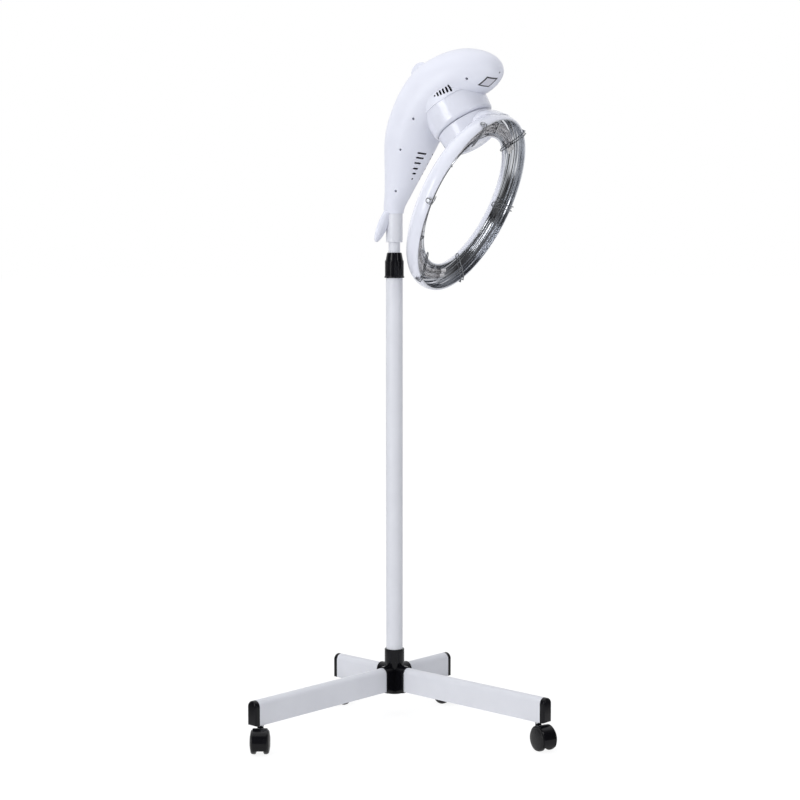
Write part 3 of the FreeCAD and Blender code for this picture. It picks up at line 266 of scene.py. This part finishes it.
def dress(obj, look):
    """Give a piece its material, and smooth shading with its sharp edges kept."""
    obj.data.materials.clear()
    obj.data.materials.append(materials[look])
    for polygon in obj.data.polygons:
        polygon.use_smooth = True
    weld = obj.modifiers.new("weld", "WELD")
    weld.merge_threshold = WELD_REACH
    split = obj.modifiers.new("split", "EDGE_SPLIT")
    split.split_angle = SHARP_ANGLE


for part in frame["record"]["subparts"]:
    dress(nodes[part["node"]], FINER_LOOKS.get(part["node"], part["material_slot"]))


# ---------------------------------------------------------------- helpers for new pieces
def add_piece(name, bm, slot, body, look=None, place=None):
    """Turn a bmesh into a piece that rides on a body, with its slot's look or a finer one."""
    mesh = bpy.data.meshes.new(name)
    if place:
        bm.transform(place)
    bmesh.ops.recalc_face_normals(bm, faces=bm.faces)
    bm.to_mesh(mesh)
    bm.free()
    obj = bpy.data.objects.new(name, mesh)
    scene.collection.objects.link(obj)
    dress(obj, look or slot)
    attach(obj, body)
    return obj


def join(bm, here, after):
    """A band of faces between two rings of as many points."""
    count = len(here)
    for k in range(count):
        m = (k + 1) % count
        bm.faces.new((here[k], here[m], after[m], after[k]))


def lathe(profile, steps):
    """A closed profile of (radius, height) points turned about Z."""
    bm = bmesh.new()
    rings = []
    for index in range(steps):
        angle = 2 * math.pi * index / steps
        rings.append([bm.verts.new((radius * math.cos(angle), radius * math.sin(angle), height))
                      for radius, height in profile])
    for here, after in zip(rings, rings[1:] + rings[:1]):
        join(bm, here, after)
    return bm


def tube_along(points, radius, sides):
    """A round tube through points, with capped ends."""
    bm = bmesh.new()
    rings = []
    up = Vector((0, 0, 1))
    for index, point in enumerate(points):
        ahead = points[min(index + 1, len(points) - 1)]
        behind = points[max(index - 1, 0)]
        way = (ahead - behind).normalized()
        across = way.cross(up).normalized()
        up = across.cross(way)
        ring = []
        for side in range(sides):
            angle = 2 * math.pi * side / sides
            spoke = across * math.cos(angle) + up * math.sin(angle)
            ring.append(bm.verts.new(point + spoke * radius))
        rings.append(ring)
    for here, after in zip(rings, rings[1:]):
        join(bm, here, after)
    bm.faces.new(rings[0])
    bm.faces.new(rings[-1][::-1])
    return bm


# ---------------------------------------------------------------- the reflector
# The halo's section is two arcs that meet at its crest. Radii and heights in the halo frame.
RIM, CREST, BORE, DEPTH, INNER_LIP = (value * MM for value in (191.2, 168, 141, 38, 20))
SHEET_BACK, SHEET_FACE = 2.5 * MM, 3.5 * MM
RIPPLE, RIPPLE_PITCH = 0.8 * MM, 7.8 * MM
FACE_STEPS, BACK_STEPS, ROUND_STEPS = 48, 12, 180


def section(inset, steps, ripple=0.0):
    """Points (radius, height) inside the halo's section, from its outer edge to its inner one."""
    inner_drop = DEPTH - INNER_LIP
    outer = ((RIM - CREST) ** 2 + DEPTH ** 2) / (2 * DEPTH)
    inner = ((CREST - BORE) ** 2 + inner_drop ** 2) / (2 * inner_drop)
    start = -math.asin((DEPTH - outer) / (outer - inset))
    stop = math.atan2(inner - inner_drop, BORE - CREST)
    points = []
    travel = 0.0
    for arc, low, high, first in ((outer, start, math.pi / 2, 0), (inner, math.pi / 2, stop, 1)):
        radius = arc - inset
        for index in range(first, steps + 1):
            angle = low + (high - low) * index / steps
            along = travel + radius * (angle - low)
            wave = ripple * (0.5 - 0.5 * math.cos(2 * math.pi * along / RIPPLE_PITCH))
            points.append((CREST + (radius - wave) * math.cos(angle),
                           DEPTH - arc + (radius - wave) * math.sin(angle)))
        travel += radius * (high - low)
    return points


sheet = section(SHEET_FACE, FACE_STEPS, RIPPLE) + section(SHEET_BACK, BACK_STEPS)[::-1]
reflector = add_piece("reflector", lathe(sheet, ROUND_STEPS), "mirror", "orbit", place=HALO)
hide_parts("halo_mirror")

# ---------------------------------------------------------------- the heater's coils
TUBE_CIRCLE, TUBE_PITCH, TUBE_HEIGHT = 163 * MM, 10.8 * MM, 19.5 * MM
TUBE_START, TUBE_END = math.radians(36), math.radians(-183)
COIL_RADIUS, COIL_PITCH = 0.8 * MM, 11.0 * MM
WIRE_RADIUS, WIRE_SIDES, STEPS_A_TURN = 0.3 * MM, 5, 12


def coil_points(circle):
    """The middle line of a coil wound along a circle of the halo frame."""
    turns = round(circle * (TUBE_START - TUBE_END) / COIL_PITCH)
    steps = turns * STEPS_A_TURN
    points = []
    for index in range(steps + 1):
        angle = TUBE_START + (TUBE_END - TUBE_START) * index / steps
        twist = 2 * math.pi * index / STEPS_A_TURN
        radius = circle + COIL_RADIUS * math.cos(twist)
        points.append(Vector((radius * math.cos(angle), radius * math.sin(angle),
                              TUBE_HEIGHT + COIL_RADIUS * math.sin(twist))))
    return points


for name, across in (("heater_coil_inner", -TUBE_PITCH / 2), ("heater_coil_outer", TUBE_PITCH / 2)):
    wire = tube_along(coil_points(TUBE_CIRCLE + across), WIRE_RADIUS, WIRE_SIDES)
    add_piece(name, wire, "steel", "orbit", "coil", HALO)

# ---------------------------------------------------------------- the plate under the snout
# Corners in the head frame. A light sheet stands on the middle of a darker one, its border.
PLATE_NORMAL = Vector((0.636, -0.415, -0.651)).normalized()
PLATE_CORNERS = [Vector(corner) * MM for corner in (
    (229.2, -32.5, 1338.3), (242.4, -8.2, 1335.7), (222.8, -12.5, 1319.3), (209.6, -36.8, 1321.9))]
BORDER_WIDTH, BORDER_LIFT, FIELD_LIFT = 2.4 * MM, 0.25 * MM, 0.45 * MM
PLATE_STEPS, PLATE_SINK, CAST_FROM = 14, 0.4 * MM, 20 * MM
# A side lies at about this share of a corner's distance from the plate's middle.
SIDE_SHARE = 0.7


def surface_of(*names):
    """A tree of the nodes' faces, for finding where a line meets them."""
    verts, faces = [], []
    for name in names:
        data = nodes[name].data
        base = len(verts)
        verts.extend(v.co.copy() for v in data.vertices)
        faces.extend([base + i for i in p.vertices] for p in data.polygons)
    return BVHTree.FromPolygons(verts, faces)


housing = surface_of("housing_left", "housing_right")


def laid_on(corners, normal, inset, lift):
    """A thin sheet that follows the housing's surface between four corners of the head frame."""
    middle = sum(corners, Vector()) / 4
    shrink = 1 - inset / ((corners[0] - middle).length * SIDE_SHARE)
    a, b, c, d = (middle + (corner - middle) * shrink for corner in corners)
    outward = (HEAD.to_3x3() @ normal).normalized()
    steps = PLATE_STEPS
    width = steps + 1
    bm = bmesh.new()
    layers = []
    for height in (lift, -PLATE_SINK):
        grid = []
        for row in range(width):
            v = row / steps
            for column in range(width):
                u = column / steps
                point = HEAD @ ((a * (1 - u) + b * u) * (1 - v) + (d * (1 - u) + c * u) * v)
                hit, _, _, _ = housing.ray_cast(point + outward * CAST_FROM, -outward)
                grid.append(bm.verts.new((hit or point) + outward * height))
        layers.append(grid)
    for row in range(steps):
        for column in range(steps):
            k = row * width + column
            for grid in layers:
                bm.faces.new((grid[k], grid[k + 1], grid[k + 1 + width], grid[k + width]))
    edge = (list(range(steps)) + [k * width + steps for k in range(steps)]
            + [steps * width + k for k in range(steps, 0, -1)]
            + [k * width for k in range(steps, 0, -1)])
    top, under = ([grid[k] for k in edge] for grid in layers)
    join(bm, top, under)
    return bm


for name, inset, lift, look in (("plate_border", 0, BORDER_LIFT, "plate_frame"),
                                ("plate_blank", BORDER_WIDTH, FIELD_LIFT, "plate_field")):
    add_piece(name, laid_on(PLATE_CORNERS, PLATE_NORMAL, inset, lift), "panel_grey", "head", look)

# ---------------------------------------------------------------- the screw in the nose
NOSE_SCREW = Vector((245.2, -9, 1347.2)) * MM
SCREW_STEPS = 20
# Radius and height from the housing's surface: a low head with a hollow for the driver.
SCREW_HEAD = [(radius * MM, height * MM) for radius, height in (
    (0.02, -1.0), (1.7, -1.0), (1.7, 0.2), (1.5, 0.4), (0.7, 0.5), (0.6, -0.2), (0.02, -0.3))]
seat, facing, _, _ = housing.find_nearest(HEAD @ NOSE_SCREW)
upright = facing.to_track_quat("Z", "Y").to_matrix().to_4x4()
add_piece("nose_screw", lathe(SCREW_HEAD, SCREW_STEPS), "steel", "head",
          place=Matrix.Translation(seat) @ upright)

# ---------------------------------------------------------------- painted shade on the vents' walls
# Vents in the head frame, mm. Upper ones: place, height, length. Lower ones, on both sides: place,
# sideways place, height, length. RUN is the way a slot is long, and CUT the way it goes through.
VENT_WIDTH, WALL_SLACK, WALL_TURN = 3.8, 0.3, 0.35
UPPER_RUN, UPPER_CUT = Vector((0.5, 0, -0.87)).normalized(), Vector((0, 1, 0))
LOWER_RUN, LOWER_CUT = Vector((0, 1, 0)), Vector((1, 0, -0.24)).normalized()
UPPER_VENTS = ((160, 1316, 15), (154, 1313.2, 13), (147.8, 1310.2, 12), (141.8, 1307.2, 11),
               (136, 1304.2, 9.8), (129.8, 1301, 3.4))
LOWER_VENTS = ((78.7, 24.4, 1188, 22), (73, 24, 1179, 18.5), (67.2, 23.2, 1168.5, 15.5),
               (61.3, 21.6, 1157.5, 12), (56.7, 18.6, 1147.5, 9), (50.8, 16.7, 1136.8, 3.4))
vents = [(Vector((u, 0, z)), UPPER_RUN, UPPER_CUT, length) for u, z, length in UPPER_VENTS]
vents += [(Vector((u, side * across, z)), LOWER_RUN, LOWER_CUT, length)
          for u, across, z, length in LOWER_VENTS for side in (-1, 1)]
to_head = HEAD.inverted()


def in_a_vent(centre, facing):
    """Whether a face of the housing, given in the head frame, is a wall of a vent."""
    for middle, run, cut, length in vents:
        offset = centre - middle
        if (abs(facing.dot(cut)) < WALL_TURN
                and abs(offset.dot(run)) < length / 2 + WALL_SLACK
                and abs(offset.dot(cut.cross(run))) < VENT_WIDTH / 2 + WALL_SLACK):
            return True
    return False


# The faces of the vents' walls take the near-black painted shade as a second material.
for name in ("housing_left", "housing_right"):
    data = nodes[name].data
    data.materials.append(materials["painted_vent_shade"])
    for polygon in data.polygons:
        if in_a_vent((to_head @ polygon.center) / MM, to_head.to_3x3() @ polygon.normal):
            polygon.material_index = 1

# ---------------------------------------------------------------- marks on the far side's panel
# In the head frame, mm. Keys and digits are placed along X, and Y stands out of the panel. The keys
# carry an arrow, three bars and a cross.
PANEL_Z, KEY_TOP, WINDOW_TOP = 1262, 70.6, 68.7
KEY_PLACES = {"start": 74, "mode": 91, "timer": 108}
KEY_MARK_SINK, KEY_MARK_RISE = 0.3, 0.12
ARROW_BACK, ARROW_HALF, ARROW_TIP = -2.0, 2.6, 2.8
BAR_HALF, BAR_THICK, BAR_HEIGHTS = 2.8, 1.0, (-2.3, -0.5, 1.3)
CROSS_REACH, CROSS_HALF = 2.9, 0.5


def oblong(left, low, right, high):
    return [(left, low), (left, high), (right, high), (right, low)]


KEY_MARKS = {
    "start": [[(ARROW_BACK, -ARROW_HALF), (ARROW_BACK, ARROW_HALF), (ARROW_TIP, 0)]],
    "mode": [oblong(-BAR_HALF, z, BAR_HALF, z + BAR_THICK) for z in BAR_HEIGHTS],
    "timer": [oblong(-CROSS_REACH, -CROSS_HALF, CROSS_REACH, CROSS_HALF),
              oblong(-CROSS_HALF, CROSS_HALF, CROSS_HALF, CROSS_REACH),
              oblong(-CROSS_HALF, -CROSS_REACH, CROSS_HALF, -CROSS_HALF)],
}


def raise_mark(bm, outline, u, low, high):
    """A flat mark, read from outside the panel, standing from low to high out of it at u."""
    rings = [[bm.verts.new(Vector((u - x, y, PANEL_Z + rise)) * MM) for x, rise in outline]
             for y in (low, high)]
    bm.faces.new(rings[0])
    bm.faces.new(rings[1][::-1])
    join(bm, *rings)


for key, u in KEY_PLACES.items():
    bm = bmesh.new()
    for outline in KEY_MARKS[key]:
        raise_mark(bm, outline, u, KEY_TOP - KEY_MARK_SINK, KEY_TOP + KEY_MARK_RISE)
    add_piece("mark_" + key, bm, "key_grey", "key_" + key, "ink", HEAD)

# Each segment of a digit runs between two points, in digit widths and half heights.
DIGIT_WIDTH, DIGIT_HALF, SEGMENT_WIDTH = 6.0, 5.6, 1.1
SEGMENT_GAP = SEGMENT_WIDTH * 0.65
DIGIT_SINK, DIGIT_RISE = 0.2, 0.1
DIGITS_SHOWN = ((53.75, 2), (44.25, 0))
SEGMENTS = {"top": (0, 1, 1, 1), "middle": (0, 0, 1, 0), "bottom": (0, -1, 1, -1),
            "high_left": (0, 0, 0, 1), "high_right": (1, 0, 1, 1),
            "low_left": (0, -1, 0, 0), "low_right": (1, -1, 1, 0)}
LIT = {2: ("top", "high_right", "middle", "low_left", "bottom"),
       0: ("top", "high_left", "high_right", "low_left", "low_right", "bottom")}
bm = bmesh.new()
for left, digit in DIGITS_SHOWN:
    for segment in LIT[digit]:
        x0, z0, x1, z1 = SEGMENTS[segment]
        sides_out, ends_in = SEGMENT_WIDTH / 2, -SEGMENT_GAP
        lies_flat = z0 == z1
        grow_x, grow_z = (ends_in, sides_out) if lies_flat else (sides_out, ends_in)
        outline = oblong(x0 * DIGIT_WIDTH - grow_x, z0 * DIGIT_HALF - grow_z,
                         x1 * DIGIT_WIDTH + grow_x, z1 * DIGIT_HALF + grow_z)
        raise_mark(bm, outline, left, WINDOW_TOP - DIGIT_SINK, WINDOW_TOP + DIGIT_RISE)
add_piece("display_digits", bm, "window", "head", "lit_segment", HEAD)

# ---------------------------------------------------------------- camera
CAMERA_TURN, CAMERA_PITCH = math.radians(-2.38), math.radians(5.45)
CAMERA_PLACE = Vector((0.0118, -3.986, 1.055))
LENS, SENSOR_WIDTH, VIEW_DISTANCE = 85.5, 36, 100
camera_data = bpy.data.cameras.new("camera")
camera_data.sensor_width = SENSOR_WIDTH
camera_data.lens = LENS
camera_data.clip_end = VIEW_DISTANCE
camera = bpy.data.objects.new("camera", camera_data)
camera.location = Matrix.Rotation(CAMERA_TURN, 3, "Z") @ CAMERA_PLACE
camera.rotation_euler = (math.pi / 2 - CAMERA_PITCH, 0, CAMERA_TURN)
scene.collection.objects.link(camera)
scene.camera = camera

# ---------------------------------------------------------------- lamps
LAMP_AIM = Vector((0, 0, 1.15))


def from_camera_side(azimuth, distance, height):
    """A place round the stand; azimuth is from the camera's side, positive to its right."""
    angle = math.radians(azimuth) + CAMERA_TURN
    return Vector((distance * math.sin(angle), -distance * math.cos(angle), height))


# Place, width and height in metres, power in watts, and colour.
SOFTBOXES = {
    "left": (from_camera_side(-43, 3.3, 1.5), 1.15, 2.6, 42, WHITE),
    "right": (from_camera_side(46, 3.6, 1.4), 0.5, 2.4, 16, (0.97, 0.98, 1.0)),
    "top": (Vector((-0.3, -0.2, 4.2)), 3.4, 3.4, 36, WHITE),
}
for name, (place, width, height, power, colour) in SOFTBOXES.items():
    light = bpy.data.lights.new(name, "AREA")
    light.shape = "RECTANGLE"
    light.size = width
    light.size_y = height
    light.energy = power
    light.color = colour
    lamp = bpy.data.objects.new(name, light)
    lamp.location = place
    lamp.rotation_euler = (LAMP_AIM - place).to_track_quat("-Z", "Y").to_euler()
    scene.collection.objects.link(lamp)

# ---------------------------------------------------------------- world
# Matt surfaces are lit a little more from the left and above. Gloss and metal see a white sweep
# behind the stand and above it, and a dark room in front. The camera and glass see plain white.
AMBIENT_COLOUR = (0.95, 0.96, 1.0, 1)
AMBIENT_WAY, AMBIENT_REACH, AMBIENT_LOW, AMBIENT_HIGH = (-0.4, 0.1, 0.45), 0.6, 0.34, 0.76
SWEEP_WAY = (0, 0.9, 0.35)
SWEEP_FRONT, SWEEP_BACK = (0.0, (0.16, 0.16, 0.17)), (1.0, WHITE)
SWEEP_GREYS = ((0.28, 0.08), (0.50, 0.03), (0.66, 0.22), (0.77, 1.0))
BLUE_CAST = 1.03


def studio(name):
    world = bpy.data.worlds.new(name)
    world.use_nodes = True
    world.node_tree.nodes.clear()
    room = Nodes(world.node_tree)
    way = room.add("TexCoord").outputs["Generated"]
    rays = room.add("LightPath").outputs
    level = room.spread(room.reach(way, AMBIENT_WAY), AMBIENT_LOW, AMBIENT_HIGH,
                        -AMBIENT_REACH, AMBIENT_REACH)
    ambient = room.add("Background", {"Color": AMBIENT_COLOUR, "Strength": level})
    greys = [(position, (grey, grey, grey * BLUE_CAST)) for position, grey in SWEEP_GREYS]
    backward = room.spread(room.reach(way, SWEEP_WAY), 0, 1, -1, 1)
    sweep = room.ramp(backward, SWEEP_FRONT, SWEEP_BACK, greys)
    reflected = room.add("Background", {"Color": sweep})
    plain = room.add("Background", {"Color": (*WHITE, 1)})
    lit = room.mix(rays["Is Glossy Ray"], ambient.outputs[0], reflected.outputs[0])
    shown = room.math("MAXIMUM", rays["Is Camera Ray"], rays["Is Transmission Ray"])
    room.add("OutputWorld", {"Surface": room.mix(shown, lit, plain.outputs[0])})
    return world


scene.world = studio("studio")

# ---------------------------------------------------------------- floor
# The camera sees the floor nearly white by its own glow, and the rest of it takes the shadow.
# Gloss sees it pale under the stand, in bright and dark runners to its right, and dark in front,
# so that the reflector is streaked and the black parts stay deep.
FLOOR_HALF, FLOOR_CELLS, FLOOR_DROP = 30, 4, 0.5 * MM
FLOOR_COLOUR, FLOOR_ROUGHNESS = (0.92, 0.92, 0.92, 1), 0.9
GLOW_SHARE, GLOW_STRENGTH = 0.82, 1.1
RUNNERS_LEFT, RUNNERS_RIGHT, GREY_LEFT, GREY_RIGHT = -1.5, 4.0, 0.08, 0.5
RUNNERS = ((-0.7, 0.08), (-0.5, 0.8), (0.55, 0.8), (0.65, 0.05), (1.0, 0.05), (1.1, 0.95),
           (1.8, 0.95), (1.95, 0.08), (2.6, 0.08), (2.8, 0.9))
FRONT_DARK, FRONT_PALE, FRONT_LEVEL = -0.9, -0.6, 0.12


def pale_floor(name):
    made = Surface(name)
    made.set({"Base Color": FLOOR_COLOUR, "Roughness": FLOOR_ROUGHNESS})
    rays = made.add("LightPath").outputs
    position = made.add("NewGeometry").outputs["Position"]
    spot = made.add("SeparateXYZ", {"Vector": position}).outputs
    glow = made.add("Emission", {"Strength": GLOW_STRENGTH})
    share = made.math("MULTIPLY", rays["Is Camera Ray"], GLOW_SHARE)
    seen = made.mix(share, made.shader.outputs["BSDF"], glow.outputs["Emission"])
    span = RUNNERS_RIGHT - RUNNERS_LEFT
    stops = [((x - RUNNERS_LEFT) / span, (grey,) * 3) for x, grey in RUNNERS]
    rightward = made.spread(spot["X"], 0, 1, RUNNERS_LEFT, RUNNERS_RIGHT)
    runners = made.ramp(rightward, (0, (GREY_LEFT,) * 3), (1, (GREY_RIGHT,) * 3), stops)
    front = made.spread(spot["Y"], FRONT_LEVEL, 1, FRONT_DARK, FRONT_PALE)
    dim = made.add("Emission", {"Strength": made.math("MULTIPLY", runners, front)})
    finish = made.mix(rays["Is Glossy Ray"], seen, dim.outputs["Emission"])
    made.feed(made.tree.nodes["Material Output"], {"Surface": finish})
    return made.material


bm = bmesh.new()
bmesh.ops.create_grid(bm, x_segments=FLOOR_CELLS, y_segments=FLOOR_CELLS, size=FLOOR_HALF)
floor_mesh = bpy.data.meshes.new("floor")
bm.to_mesh(floor_mesh)
bm.free()
floor = bpy.data.objects.new("floor", floor_mesh)
floor.location.z = -FLOOR_DROP
scene.collection.objects.link(floor)

floor.data.materials.append(pale_floor("floor"))

scene.view_settings.view_transform = "Standard"
